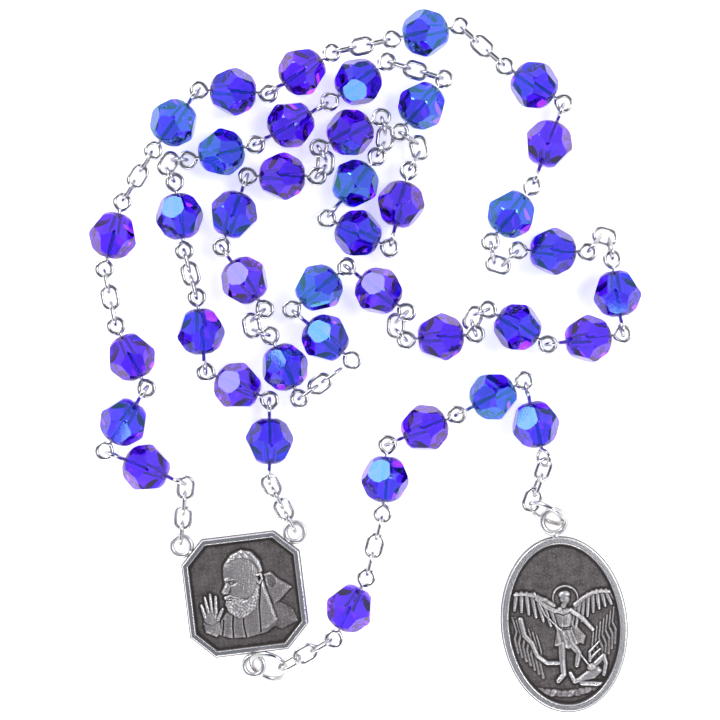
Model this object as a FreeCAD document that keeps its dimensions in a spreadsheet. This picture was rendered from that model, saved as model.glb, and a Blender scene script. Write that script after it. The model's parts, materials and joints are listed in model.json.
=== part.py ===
import FreeCAD, Part
import math
import os

# A chaplet of faceted glass beads laid flat on a table, in millimetres.
# Every bead is threaded on its own eye pin, beads hook into each other in
# threes, short runs of oval chain links join the threes and the single beads,
# and the whole loop hangs on a cast centre medal. A short drop of beads
# carries an oval end medal.

V = FreeCAD.Vector

# Driving dimensions, kept in one table so that every sub-part follows them.
SIZES = [
    ("bead_radius", 4.0),
    ("facet_distance", 3.52),
    ("facet_latitude", 25.0),
    ("bore_radius", 0.5),
    ("pin_wire", 0.35),
    ("eye_radius", 1.25),
    ("eye_centre", 5.7),
    ("eye_throat", 4.2),
    ("link_wire", 0.32),
    ("link_bend", 1.23),
    ("link_straight", 1.3),
    ("jump_radius", 3.0),
    ("jump_wire", 0.42),
    ("medal_half", 9.8),
    ("medal_corner", 3.8),
    ("medal_thick", 2.6),
    ("medal_rim", 1.3),
    ("medal_recess", 0.7),
    ("bail_radius", 1.6),
    ("bail_wire", 0.45),
    ("bail_height", 1.6),
    ("oval_long", 14.5),
    ("oval_short", 10.4),
    ("oval_thick", 2.2),
    ("oval_rim", 1.5),
    ("oval_recess", 0.6),
    ("oval_bail_radius", 1.95),
    ("oval_bail_wire", 0.5),
    ("oval_bail_height", 1.5),
]
SIZE = dict(SIZES)

EYE = SIZE["eye_centre"]
RING = SIZE["eye_radius"]
BEND = SIZE["link_bend"]
STRAIGHT = SIZE["link_straight"]
BEAD_HEIGHT = SIZE["bead_radius"]

# Centre medal: place of its middle and its turn on the table.
MEDAL_X = -19.7
MEDAL_Y = -38.2
MEDAL_TURN = 7.0
BAIL_LEFT = V(-9.4, 9.1, 0)
BAIL_RIGHT = V(9.4, 9.1, 0)
BAIL_LOW = V(0, -11.9, 0)

# End medal: place of its middle and its turn on the table.
OVAL_X = 32.8
OVAL_Y = -43.2
OVAL_TURN = 5.7
OVAL_BAIL = V(0, 17.0, 0)

# Groups of hooked beads: the first bead's place, the heading of each bead and
# how each pair hooks. "flat_first" puts the flat eye on the earlier bead,
# "flat_next" on the later one; the number is the distance between eye centres.
GROUPS = [
    ("group1", -35.7, -17.4, (158, 56, 116), (("flat_next", 1.7), ("flat_next", 0.95))),
    ("group2", -31.2, 39.0, (53, -3, 33), (("flat_next", 1.0), ("flat_first", 0.95))),
    ("group3", 27.7, 45.2, (-32, -111, -127), (("flat_first", 1.4), ("flat_next", 1.7))),
    ("group4", 41.2, 11.1, (-82, -172, 150), (("flat_next", 0.95), ("flat_next", 0.95))),
    ("group5", 2.3, 11.5, (143, 218, -40), (("flat_next", 0.95), ("flat_first", 1.6))),
    ("group6", -19.6, 13.2, (125, 70, 0), (("flat_next", 0.95), ("flat_next", 0.95))),
    ("group7", -1.6, 29.1, (231, -25, 76), (("flat_next", 1.7), ("flat_first", 1.7))),
    ("group8", -1.1, 45.7, (215, 210, 193), (("flat_first", 1.6), ("flat_next", 0.95))),
    ("group9", -26.8, 4.9, (-83, -24, -90), (("flat_next", 0.95), ("flat_first", 0.95))),
    ("drop", 3.3, -19.2, (86, 23, 27, -76),
     (("flat_first", 0.95), ("flat_first", 0.95), ("flat_first", 1.7))),
]

# Single beads between the groups: place and heading.
SINGLES = [
    ("single1", -41.1, 20.6, 75),
    ("single2", 9.9, 53.7, 11),
    ("single3", 30.7, 18.0, -1),
    ("single4", 12.4, 4.0, 185),
    ("single5", -13.1, -0.9, 115),
    ("single6", -2.4, 37.4, 26),
    ("single7", 9.3, 41.8, 50),
    ("single8", -30.3, 23.7, -82),
    ("single9", -2.4, -40.3, 62),
]


def along(heading):
    angle = math.radians(heading)
    return V(math.cos(angle), math.sin(angle), 0)


def frame_of(direction, roll):
    """Axes of a flat part: along it, across it in its plane, and its normal."""
    tangent = V(direction)
    tangent.normalize()
    side = V(0, 0, 1).cross(tangent)
    side.normalize()
    lift = tangent.cross(side)
    angle = math.radians(roll)
    across = side * math.cos(angle) + lift * math.sin(angle)
    normal = tangent.cross(across)
    return tangent, across, normal


def placed(centre, direction, roll):
    tangent, across, normal = frame_of(direction, roll)
    return FreeCAD.Placement(centre, FreeCAD.Rotation(tangent, across, normal, "ZXY"))


class Hook:
    """A round end that something else can hook into."""

    def __init__(self, centre, direction, roll, radius, wire):
        self.centre = centre
        self.direction = direction
        self.roll = roll
        self.radius = radius
        self.wire = wire
        self.normal = frame_of(direction, roll)[2]


def roll_of(direction, normal):
    """Roll at which a flat part pointing this way has this normal."""
    tangent, side, lift = frame_of(direction, 0)
    return math.degrees(math.atan2(-normal.dot(side), normal.dot(lift)))


BEADS = {}
JOINTS = []


def steep(hook):
    return abs(hook.normal.z)


def hinge(name, parent, child, first, second):
    """Two hooked rings turn about the centre line of the steeper one."""
    ring = first if steep(first) <= steep(second) else second
    axis = V(ring.normal)
    JOINTS.append((name, parent, child, ring.centre, axis))


def add_bead(name, centre, heading, back_roll, front_roll):
    direction = along(heading)
    wire = SIZE["pin_wire"]
    BEADS[name] = {
        "centre": centre,
        "direction": direction,
        "back_roll": back_roll,
        "front_roll": front_roll,
        "back": Hook(centre - direction * EYE, direction, back_roll, RING, wire),
        "front": Hook(centre + direction * EYE, direction, front_roll, RING, wire),
    }


def add_group(name, x, y, headings, couplings, first_roll, last_roll):
    centre = V(x, y, BEAD_HEIGHT)
    back_roll = first_roll
    before = None
    for index, heading in enumerate(headings):
        direction = along(heading)
        if before is not None:
            kind, gap = couplings[index - 1]
            if kind == "flat_first":
                centre = centre + before * EYE + direction * (gap + EYE)
                back_roll = 90
            else:
                centre = centre + before * (EYE + gap) + direction * EYE
                back_roll = 0
        if index < len(couplings):
            front_roll = 0 if couplings[index][0] == "flat_first" else 90
        else:
            front_roll = last_roll
        add_bead("%s_bead%d" % (name, index + 1), centre, heading, back_roll, front_roll)
        before = direction


def taut(first, second):
    """Distance between two hooked round ends pulled tight, less a small play."""
    play = 0.1
    return first.radius + second.radius - first.wire - second.wire - play


def way_out(hook, aim):
    """Direction in which a neighbour leaves a hook, lying in its plane."""
    if steep(hook) < 0.5:
        return hook.direction * (1 if hook.direction.dot(aim) > 0 else -1)
    goal = aim - hook.normal * aim.dot(hook.normal)
    goal.normalize()
    return goal


LINKS = {}
LINK_END = Hook(V(0, 0, 0), V(1, 0, 0), 0, BEND, SIZE["link_wire"])


def keep_links(name, links):
    LINKS[name] = LINKS.get(name, []) + links
    near, far, roll = links[0]
    head = Hook(near, far - near, roll, BEND, SIZE["link_wire"])
    near, far, roll = links[-1]
    tail = Hook(far, far - near, roll, BEND, SIZE["link_wire"])
    return head, tail


OPEN_GAP = 0.35


def straight_run(name, first, last, count, parted=False):
    """Oval links in a line between two hooks, the slack shared evenly.

    A parted run stops just short of its first hook instead of passing through it.
    """
    aim = last.centre - first.centre
    leave = way_out(first, aim)
    arrive = way_out(last, aim)
    least = 0.0
    most = 0.85
    for _ in range(60):
        slack = (least + most) / 2
        stand_off = taut(first, LINK_END) - slack
        if parted:
            stand_off = first.radius + first.wire + OPEN_GAP + LINK_END.wire + BEND
        start = first.centre + leave * stand_off
        finish = last.centre - arrive * (taut(last, LINK_END) - slack)
        between = taut(LINK_END, LINK_END) - slack
        needed = count * STRAIGHT + (count - 1) * between
        if needed > (finish - start).Length:
            least = slack
        else:
            most = slack
    ahead = finish - start
    ahead.normalize()
    step = None
    for turns in range(-8, 9):
        trial = (last.roll - first.roll + 180.0 * turns) / (count + 1)
        if step is None or abs(trial - 90) < abs(step - 90):
            step = trial
    links = []
    near = start
    for index in range(count):
        far = near + ahead * STRAIGHT
        links.append((near, far, first.roll + step * (index + 1)))
        near = far + ahead * between
    return keep_links(name, links)


def arched_run(name, first, last, side, slack, dip):
    """Three links between two flat eyes, pushed out to one side in an arch."""
    chord = last.centre - first.centre
    heading = math.degrees(math.atan2(chord.y, chord.x))
    gap = taut(first, LINK_END) - slack
    level = STRAIGHT * math.cos(math.radians(dip))
    drop = V(0, 0, -STRAIGHT * math.sin(math.radians(dip)))
    limb = 2 * gap + level
    swing = math.degrees(math.acos(min(1.0, (chord.Length - STRAIGHT) / (2 * limb))))
    going = along(heading + side * swing)
    across = along(heading)
    coming = along(heading - side * swing)
    near1 = first.centre + going * gap
    far1 = near1 + going * level + drop
    near2 = far1 + going * gap
    far2 = near2 + across * STRAIGHT
    near3 = far2 + coming * gap
    far3 = near3 + coming * level - drop
    return keep_links(name, [(near1, far1, 90), (near2, far2, 0), (near3, far3, 90)])


# How each run leaves and meets its beads: the roll of the eyes is 0 for an eye
# lying flat and 90 for one standing on edge.
END_ROLLS = {
    "group1": (90, 0),
    "group2": (0, 0),
    "group3": (0, 0),
    "group4": (0, 0),
    "group5": (0, 0),
    "group6": (0, 0),
    "group7": (0, 0),
    "group8": (0, 0),
    "group9": (0, 90),
    "drop": (0, 45),
}
SINGLE_ROLLS = {
    "single1": (0, 0),
    "single2": (0, 0),
    "single3": (0, 0),
    "single4": (0, 0),
    "single5": (0, 0),
    "single6": (0, 0),
    "single7": (0, 0),
    "single8": (0, 0),
    "single9": (0, 0),
}

for name, x, y, headings, couplings in GROUPS:
    first_roll, last_roll = END_ROLLS[name]
    add_group(name, x, y, headings, couplings, first_roll, last_roll)
for name, x, y, heading in SINGLES:
    first_roll, last_roll = SINGLE_ROLLS[name]
    add_bead(name + "_bead", V(x, y, BEAD_HEIGHT), heading, first_roll, last_roll)


def on_medal(local, centre_x, centre_y, turn, height):
    spin = FreeCAD.Rotation(V(0, 0, 1), turn)
    return spin.multVec(local) + V(centre_x, centre_y, height)


def medal_bail(local, away):
    height = SIZE["bail_height"]
    centre = on_medal(local, MEDAL_X, MEDAL_Y, MEDAL_TURN, height)
    return Hook(centre, along(away), 0, SIZE["bail_radius"], SIZE["bail_wire"])


bail_left = medal_bail(BAIL_LEFT, 97)
bail_right = medal_bail(BAIL_RIGHT, 97)
bail_low = medal_bail(BAIL_LOW, -83)
oval_bail = Hook(on_medal(OVAL_BAIL, OVAL_X, OVAL_Y, OVAL_TURN, SIZE["oval_bail_height"]),
                 along(OVAL_TURN + 90), 0, SIZE["oval_bail_radius"], SIZE["oval_bail_wire"])


# The split ring on the centre medal's low bail lies tilted over the bail.
CENTRE_RING_REACH = V(-math.cos(math.radians(20)), 0, -math.sin(math.radians(20)))
CENTRE_RING_TILT = 40.0
CENTRE_RING_OFFSET = 2.7
centre_ring_middle = bail_low.centre - CENTRE_RING_REACH * CENTRE_RING_OFFSET
centre_ring_roll = -CENTRE_RING_TILT
centre_ring_normal = frame_of(CENTRE_RING_REACH, centre_ring_roll)[2]

# The split ring on the end medal stands almost on edge.
END_RING_HEADING = -30.0
END_RING_TILT = 68.0
end_ring_middle = V(29.7, -24.8, 3.2)
end_ring_normal = frame_of(along(END_RING_HEADING), END_RING_TILT)[2]


def ring_hook(middle, normal, aim):
    direction = V(aim) - normal * normal.dot(aim)
    direction.normalize()
    roll = roll_of(direction, normal)
    return Hook(middle, direction, roll, SIZE["jump_radius"], SIZE["jump_wire"])


centre_ring_out = ring_hook(centre_ring_middle, centre_ring_normal, along(40))
end_ring_in = ring_hook(end_ring_middle, end_ring_normal, along(138))

# Runs that lie straight: name, hook it starts from, hook it ends on, links.
STRAIGHT_RUNS = [
    ("chain_left", bail_left, "group1_bead1.back", 4),
    ("chain1", "group1_bead3.front", "single1_bead.back", 3),
    ("chain2", "single1_bead.front", "group2_bead1.back", 3),
    ("chain3", "group2_bead3.front", "single2_bead.back", 3),
    ("chain4", "single2_bead.front", "group3_bead1.back", 3),
    ("chain9", "group5_bead3.front", "single5_bead.back", 3),
    ("chain14", "single7_bead.front", "group8_bead1.back", 3),
    ("chain16", "single8_bead.front", "group9_bead1.back", 3),
    ("chain_right", "group9_bead3.front", bail_right, 4),
    ("chain_a", centre_ring_out, "single9_bead.back", 3),
    ("chain_b", "single9_bead.front", "drop_bead1.back", 3),
    ("chain_c", "drop_bead4.front", end_ring_in, 3),
]

# The loop is parted where this run would meet the fifth group of beads.
OPEN_RUN = "chain9"

# Runs that are pushed together: name, its two hooks, the side it arches to
# (1 left, -1 right), the slack in each joint and how far the limbs dip.
ARCHED_RUNS = [
    ("chain5", "group3_bead3.front", "single3_bead.back", -1, 0.45, 35),
    ("chain6", "single3_bead.front", "group4_bead1.back", 1, 0.45, 35),
    ("chain7", "group4_bead3.front", "single4_bead.back", -1, 0.75, 80),
    ("chain8", "single4_bead.front", "group5_bead1.back", 1, 0.65, 80),
    ("chain10", "single5_bead.front", "group6_bead1.back", 1, 0.45, 65),
    ("chain11", "group6_bead3.front", "single6_bead.back", -1, 0.8, 80),
    ("chain12", "single6_bead.front", "group7_bead1.back", 1, 0.45, 80),
    ("chain13", "group7_bead3.front", "single7_bead.back", -1, 0.45, 35),
    ("chain15", "group8_bead3.front", "single8_bead.back", -1, 0.45, 70),
]


def hook_at(where):
    if isinstance(where, Hook):
        return where
    bead, end = where.split(".")
    return BEADS[bead][end]


RUN_ENDS = {}
for name, first, last, count in STRAIGHT_RUNS:
    parted = name == OPEN_RUN
    RUN_ENDS[name] = straight_run(name, hook_at(first), hook_at(last), count, parted)
for name, first, last, side, slack, dip in ARCHED_RUNS:
    RUN_ENDS[name] = arched_run(name, hook_at(first), hook_at(last), side, slack, dip)


# Order in which everything hangs from the centre medal: each entry names the
# moving piece, the piece it hooks into and the two hooks that meet.
def end_of(run, which):
    return RUN_ENDS[run][which]


TREE = []


def hang(child, parent, parent_hook, child_hook):
    TREE.append((child, parent))
    hinge("swing_" + child, parent, child, parent_hook, child_hook)


def hang_group(group, parent, parent_hook, order):
    """Hooked beads one after another; order 1 starts at the first bead."""
    names = [bead for bead in BEADS if bead.startswith(group + "_")]
    if order < 0:
        names.reverse()
    near = "back" if order > 0 else "front"
    far = "front" if order > 0 else "back"
    for bead in names:
        hang(bead, parent, parent_hook, BEADS[bead][near])
        parent = bead
        parent_hook = BEADS[bead][far]
    return parent, parent_hook


def hang_run(run, parent, parent_hook, order):
    near = 0 if order > 0 else 1
    hang(run, parent, parent_hook, end_of(run, near))
    return run, end_of(run, 1 - near)


def hang_single(bead, parent, parent_hook, order):
    near = "back" if order > 0 else "front"
    far = "front" if order > 0 else "back"
    hang(bead, parent, parent_hook, BEADS[bead][near])
    return bead, BEADS[bead][far]


# Left branch, walked forward to the last bead of the fifth group.
at = hang_run("chain_left", "centre_medal", bail_left, 1)
at = hang_group("group1", at[0], at[1], 1)
at = hang_run("chain1", at[0], at[1], 1)
at = hang_single("single1_bead", at[0], at[1], 1)
at = hang_run("chain2", at[0], at[1], 1)
at = hang_group("group2", at[0], at[1], 1)
at = hang_run("chain3", at[0], at[1], 1)
at = hang_single("single2_bead", at[0], at[1], 1)
at = hang_run("chain4", at[0], at[1], 1)
at = hang_group("group3", at[0], at[1], 1)
hang("chain5_6", at[0], at[1], end_of("chain5", 0))
at = hang_group("group4", "chain5_6", end_of("chain6", 1), 1)
at = hang_run("chain7", at[0], at[1], 1)
at = hang_single("single4_bead", at[0], at[1], 1)
at = hang_run("chain8", at[0], at[1], 1)
at = hang_group("group5", at[0], at[1], 1)

# Right branch, walked backward to the chain that would meet the fifth group.
at = hang_run("chain_right", "centre_medal", bail_right, -1)
at = hang_group("group9", at[0], at[1], -1)
at = hang_run("chain16", at[0], at[1], -1)
at = hang_single("single8_bead", at[0], at[1], -1)
at = hang_run("chain15", at[0], at[1], -1)
at = hang_group("group8", at[0], at[1], -1)
at = hang_run("chain14", at[0], at[1], -1)
at = hang_single("single7_bead", at[0], at[1], -1)
at = hang_run("chain13", at[0], at[1], -1)
at = hang_group("group7", at[0], at[1], -1)
hang("chain11_12", at[0], at[1], end_of("chain12", 1))
at = hang_group("group6", "chain11_12", end_of("chain11", 0), -1)
hang("chain9_10", at[0], at[1], end_of("chain10", 1))

# The drop: split ring with its links, single bead, four beads, end medal.
centre_ring_low = ring_hook(centre_ring_middle, centre_ring_normal, CENTRE_RING_REACH)
hang("centre_ring_chain", "centre_medal", bail_low, centre_ring_low)
at = hang_single("single9_bead", "centre_ring_chain", end_of("chain_a", 1), 1)
at = hang_run("chain_b", at[0], at[1], 1)
at = hang_group("drop", at[0], at[1], 1)
hang("end_ring_chain", at[0], at[1], end_of("chain_c", 0))
hang("end_medal", "end_ring_chain", end_ring_in, oval_bail)

# Pieces held in one rigid body with another piece.
RIDERS = {
    "chain5_6": ["single3_bead"],
    "chain11_12": ["single6_bead"],
    "chain9_10": ["single5_bead"],
}

# Chains that share one sub-part.
CHAIN_NODES = {
    "chain5_6": ["chain5", "chain6"],
    "chain9_10": ["chain9", "chain10"],
    "chain11_12": ["chain11", "chain12"],
    "centre_ring_chain": ["chain_a"],
    "end_ring_chain": ["chain_c"],
}

# ---- BUILD

doc = FreeCAD.newDocument("chaplet")
sheet = doc.addObject("Spreadsheet::Sheet", "sizes")
for row, (alias, value) in enumerate(SIZES):
    sheet.set("A%d" % (row + 1), alias)
    sheet.set("B%d" % (row + 1), str(value))
    sheet.setAlias("B%d" % (row + 1), alias)
doc.recompute()

TO_X = FreeCAD.Rotation(V(0, 1, 0), 90)
NO_TURN = FreeCAD.Rotation()


def add(kind, name, place, **formulas):
    """A sub-part whose sizes follow the table; place is (x, y, z) and a turn."""
    thing = doc.addObject(kind, name)
    base, turn = place
    values = {}
    for axis, part_of_base in zip("xyz", base):
        values[axis] = part_of_base
    start = V(*[0 if isinstance(v, str) else v for v in base])
    thing.Placement = FreeCAD.Placement(start, turn)
    for axis in "xyz":
        if isinstance(values[axis], str):
            thing.setExpression("Placement.Base." + axis, values[axis])
    for prop, formula in formulas.items():
        thing.setExpression(prop, formula)
    return thing


def gather(kind, name, parts):
    thing = doc.addObject(kind, name)
    if kind == "Part::Compound":
        thing.Links = parts
    else:
        thing.Shapes = parts
    return thing


def spin(degrees):
    return FreeCAD.Rotation(V(0, 0, 1), degrees)


# Bead: a ball cut by two rows of six facets, with a bore along its axis.
POLE = 6.0
ball = add("Part::Sphere", "bead_ball", ((0, 0, 0), TO_X), Radius="sizes.bead_radius")
rows = []
for row, (sign, turn) in enumerate(((1, 0), (-1, 30))):
    rims = []
    for place in (-POLE, POLE):
        rim = add("Part::RegularPolygon", "facet_rim_%d_%d" % (row, len(rims)),
                  ((place, 0, 0), FreeCAD.Rotation(V(1, 0, 0), turn).multiply(TO_X)),
                  Circumradius="(sizes.facet_distance - %s * sin(sizes.facet_latitude * 1 deg))"
                  " / cos(sizes.facet_latitude * 1 deg) / cos(30 deg)" % (sign * place))
        rim.Polygon = 6
        rims.append(rim)
    loft = doc.addObject("Part::Loft", "facet_row_%d" % row)
    loft.Sections = rims
    loft.Solid = True
    loft.Ruled = True
    rows.append(loft)
facets = gather("Part::MultiCommon", "bead_facets", [ball] + rows)
bore = add("Part::Cylinder", "bead_bore", (("-1.5 * sizes.bead_radius", 0, 0), TO_X),
           Radius="sizes.bore_radius", Height="3 * sizes.bead_radius")
bead = doc.addObject("Part::Cut", "bead_glass")
bead.Base = facets
bead.Tool = bore

# Eye pin: a straight wire with a teardrop eye bent at each end.
REACH = "(sizes.eye_centre - sizes.eye_throat)"
OPEN = "asin(sizes.eye_radius / %s)" % REACH
FLANK = "sqrt(%s * %s - sizes.eye_radius * sizes.eye_radius)" % (REACH, REACH)


def bent_wire(name, centre, start, sweep, count, bend, gauge):
    """Wire bent round an arc, as short lengths that meet face to face."""
    lengths = []
    for number in range(count):
        lengths.append(add("Part::Torus", "%s_arc%d" % (name, number + 1),
                           (centre, spin(start + sweep * number / count)),
                           Radius1=bend, Radius2=gauge, Angle3="%r deg" % (sweep / count)))
    return lengths


EYE_ARCS = 5


def wire_eye(name):
    """One eye lying flat at the positive end of the pin: its bent wire and its neck."""
    half_open = math.asin(RING / (EYE - SIZE["eye_throat"]))
    degrees = math.degrees(half_open)
    loop = gather("Part::Compound", name + "_loop",
                  bent_wire(name, ("sizes.eye_centre", 0, 0), -90 - degrees, 180 + 2 * degrees,
                            EYE_ARCS, "sizes.eye_radius", "sizes.pin_wire"))
    shoulder = add("Part::Sphere", name + "_shoulder", (("sizes.eye_throat", 0, 0), NO_TURN),
                   Radius="sizes.pin_wire")
    flank = add("Part::Cylinder", name + "_flank",
                (("sizes.eye_throat", 0, 0), spin(degrees).multiply(TO_X)),
                Radius="sizes.pin_wire", Height=FLANK)
    tail = add("Part::Cylinder", name + "_tail",
               (("sizes.eye_throat + sizes.pin_wire * cos(%s)" % OPEN,
                 "-sizes.pin_wire * sin(%s)" % OPEN, 0), spin(-degrees).multiply(TO_X)),
               Radius="sizes.pin_wire", Height="%s - sizes.pin_wire" % FLANK)
    neck = gather("Part::MultiFuse", name + "_neck", [shoulder, flank, tail])
    return loop, neck


def eye_pin(name, front_roll):
    front = wire_eye(name + "_front_eye")
    for piece in front:
        piece.Placement = FreeCAD.Placement(V(0, 0, 0), FreeCAD.Rotation(V(1, 0, 0), front_roll))
    back = wire_eye(name + "_back_eye")
    for piece in back:
        piece.Placement = FreeCAD.Placement(V(0, 0, 0), spin(180))
    shaft = add("Part::Cylinder", name + "_shaft", (("-sizes.eye_throat", 0, 0), TO_X),
                Radius="sizes.pin_wire", Height="2 * sizes.eye_throat")
    core = gather("Part::MultiFuse", name + "_core", [shaft, front[1], back[1]])
    return gather("Part::Compound", name, [core, front[0], back[0]])


PINS = {}


def pin_for(twist):
    if twist not in PINS:
        PINS[twist] = eye_pin("eye_pin_%d" % twist, twist)
    return PINS[twist]


# Chain link: an oval of wire.
bends = []
for turn, side in ((-90, "sizes.link_straight / 2"), (90, "-sizes.link_straight / 2")):
    bends.extend(bent_wire("link_bend_%d" % (turn + 90), (side, 0, 0), turn, 180, 3,
                           "sizes.link_bend", "sizes.link_wire"))
    bends.append(add("Part::Cylinder", "link_side_%d" % len(bends),
                     (("-sizes.link_straight / 2", ("-" if turn < 0 else "") + "sizes.link_bend", 0), TO_X),
                     Radius="sizes.link_wire", Height="sizes.link_straight"))
link = gather("Part::Compound", "chain_link", bends)
doc.recompute()


NODES = []


def keep_node(thing, name):
    thing.Label = name
    NODES.append((thing, name))


for name, item in BEADS.items():
    twist = round(item["front_roll"] - item["back_roll"]) % 180
    node = gather("Part::Compound", name, [bead, pin_for(twist)])
    node.Placement = placed(item["centre"], item["direction"], item["back_roll"])
    keep_node(node, name)


def link_copies(run):
    copies = []
    for number, (near, far, roll) in enumerate(LINKS[run]):
        copy = gather("Part::Compound", "%s_link%d" % (run, number + 1), [link])
        copy.Placement = placed((near + far) * 0.5, far - near, roll)
        copies.append(copy)
    return copies


def split_ring(name, middle, normal):
    ring = gather("Part::Compound", name,
                  bent_wire(name, (0, 0, 0), 0, 360, 10, "sizes.jump_radius", "sizes.jump_wire"))
    ring.Placement = FreeCAD.Placement(middle, FreeCAD.Rotation(V(0, 0, 1), normal))
    return ring


centre_ring = split_ring("centre_ring", centre_ring_middle, centre_ring_normal)
end_ring = split_ring("end_ring", end_ring_middle, end_ring_normal)

shared = [run for runs in CHAIN_NODES.values() for run in runs]
for name in LINKS:
    if name not in shared:
        keep_node(gather("Part::Compound", name + "_set", link_copies(name)), name)
for name, runs in CHAIN_NODES.items():
    pieces = []
    for run in runs:
        pieces.extend(link_copies(run))
    if name == "centre_ring_chain":
        pieces.append(centre_ring)
    if name == "end_ring_chain":
        pieces.append(end_ring)
    keep_node(gather("Part::Compound", name + "_set", pieces), name)


# Centre medal: an eight-sided plate with a raised rim, three cast bails and a
# hooded bust in relief on its sunken face.
def octagon(name, inset, low, high):
    """Eight-sided block; low and high are heights given as formulas."""
    half = "(sizes.medal_half - %s)" % inset
    slope = "((2 * sizes.medal_half - sizes.medal_corner) / sqrt(2) - %s)" % inset
    square = add("Part::Box", name + "_square", (("-" + half, "-" + half, low), NO_TURN),
                 Length="2 * " + half, Width="2 * " + half, Height="%s - (%s)" % (high, low))
    diamond = add("Part::Box", name + "_diamond", ((0, "-sqrt(2) * " + slope, low), spin(45)),
                  Length="2 * " + slope, Width="2 * " + slope, Height="%s - (%s)" % (high, low))
    return gather("Part::MultiCommon", name, [square, diamond])


def mound(name, x, y, z, across, up, rise, turn=0):
    """A soft raised form, part of an ellipsoid standing out of the ground."""
    thing = add("Part::Ellipsoid", name, ((x, y, z), spin(turn)))
    thing.Radius1 = rise
    thing.Radius2 = across
    thing.Radius3 = up
    return thing


blank = octagon("medal_blank", "0", "0", "sizes.medal_thick")
sunk = octagon("medal_sunk", "sizes.medal_rim", "sizes.medal_thick - sizes.medal_recess",
               "sizes.medal_thick + 1")
plate = doc.addObject("Part::Cut", "medal_plate")
plate.Base = blank
plate.Tool = sunk
FLOOR = "sizes.medal_thick - sizes.medal_recess"
relief = [
    mound("medal_shoulders", 0.2, -4.6, FLOOR, 6.2, 3.4, 0.55),
    mound("medal_hood", 0.6, 2.0, FLOOR, 3.6, 4.6, 0.45),
    mound("medal_head", -0.3, 2.2, FLOOR, 2.3, 3.1, 0.65),
    mound("medal_beard", -1.4, -0.6, FLOOR, 1.7, 1.9, 0.6, 20),
    mound("medal_hand", -5.2, -0.8, FLOOR, 1.1, 1.9, 0.5, -15),
]


def cast_bail(name, local, height, bend, gauge, toward, joined, count):
    """A cast ring on the edge of a medal: the arc on its lug, then the free arcs."""
    centre = (local.x, local.y, height)
    root = bent_wire(name + "_root", centre, toward - joined / 2, joined, 1, bend, gauge)
    free = bent_wire(name, centre, toward + joined / 2, 360 - joined, count, bend, gauge)
    return root, free


def cast_lug(name, local, toward, start, reach, wide, low, high):
    """A block that carries a bail, running from its wire into the plate."""
    turn = math.radians(toward)
    corner = V(local.x + start * math.cos(turn) + wide / 2 * math.sin(turn),
               local.y + start * math.sin(turn) - wide / 2 * math.cos(turn), low)
    lug = add("Part::Box", name, ((corner.x, corner.y, corner.z), spin(toward)))
    lug.Length = reach
    lug.Width = wide
    lug.Height = high - low
    return lug


solid_parts = [plate] + relief
free_arcs = []
for number, (local, toward) in enumerate(((BAIL_LEFT, -45), (BAIL_RIGHT, -135), (BAIL_LOW, 90))):
    root, free = cast_bail("medal_bail_%d" % number, local, "sizes.bail_height",
                           "sizes.bail_radius", "sizes.bail_wire", toward, 45, 7)
    lug = cast_lug("medal_lug_%d" % number, local, toward, SIZE["bail_radius"], 1.2, 1.1, 1.25, 1.95)
    solid_parts.extend(root + [lug])
    free_arcs.extend(free)
medal_body = gather("Part::MultiFuse", "medal_body", solid_parts)
medal = gather("Part::Compound", "medal", [medal_body] + free_arcs)
medal.Placement = FreeCAD.Placement(V(MEDAL_X, MEDAL_Y, 0), spin(MEDAL_TURN))
keep_node(medal, "centre_medal")


# End medal: an oval plate with a flat raised rim, one bail and a winged figure.
def oval(name, inset, low, high):
    edge = add("Part::Ellipse", name + "_edge", ((0, 0, low), spin(90)),
               MajorRadius="sizes.oval_long - %s" % inset,
               MinorRadius="sizes.oval_short - %s" % inset)
    block = doc.addObject("Part::Extrusion", name)
    block.Base = edge
    block.Dir = V(0, 0, 1)
    block.Solid = True
    block.setExpression("LengthFwd", "%s - (%s)" % (high, low))
    return block


oval_blank = oval("oval_blank", "0", "0", "sizes.oval_thick")
oval_sunk = oval("oval_sunk", "sizes.oval_rim", "sizes.oval_thick - sizes.oval_recess",
                 "sizes.oval_thick + 1")
oval_plate = doc.addObject("Part::Cut", "oval_plate")
oval_plate.Base = oval_blank
oval_plate.Tool = oval_sunk
GROUND = "sizes.oval_thick - sizes.oval_recess"
figure = [
    mound("figure_body", 0.2, 0.6, GROUND, 1.7, 4.0, 0.5, 6),
    mound("figure_head", 0.0, 5.7, GROUND, 1.2, 1.4, 0.5),
    mound("figure_wing_left", -3.9, 2.6, GROUND, 1.7, 4.6, 0.42, 28),
    mound("figure_wing_right", 4.1, 2.6, GROUND, 1.7, 4.6, 0.42, -28),
    mound("figure_leg_left", -1.3, -4.4, GROUND, 0.9, 2.8, 0.45, -14),
    mound("figure_leg_right", 1.5, -4.2, GROUND, 0.9, 2.6, 0.45, 16),
    mound("figure_serpent", 0.4, -8.0, GROUND, 5.0, 1.7, 0.45, 4),
    mound("figure_spear", -1.9, -1.6, GROUND, 0.35, 7.6, 0.35, -24),
]
oval_root, oval_free = cast_bail("oval_bail", OVAL_BAIL, "sizes.oval_bail_height",
                                 "sizes.oval_bail_radius", "sizes.oval_bail_wire", -90, 60, 6)
oval_lug = cast_lug("oval_lug", OVAL_BAIL, -90, SIZE["oval_bail_radius"], 1.5, 1.8, 1.1, 1.9)
end_body = gather("Part::MultiFuse", "end_body", [oval_plate, oval_lug] + oval_root + figure)
end_piece = gather("Part::Compound", "end_piece", [end_body] + oval_free)
end_piece.Placement = FreeCAD.Placement(V(OVAL_X, OVAL_Y, 0), spin(OVAL_TURN))
keep_node(end_piece, "end_medal")

doc.recompute()

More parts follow.
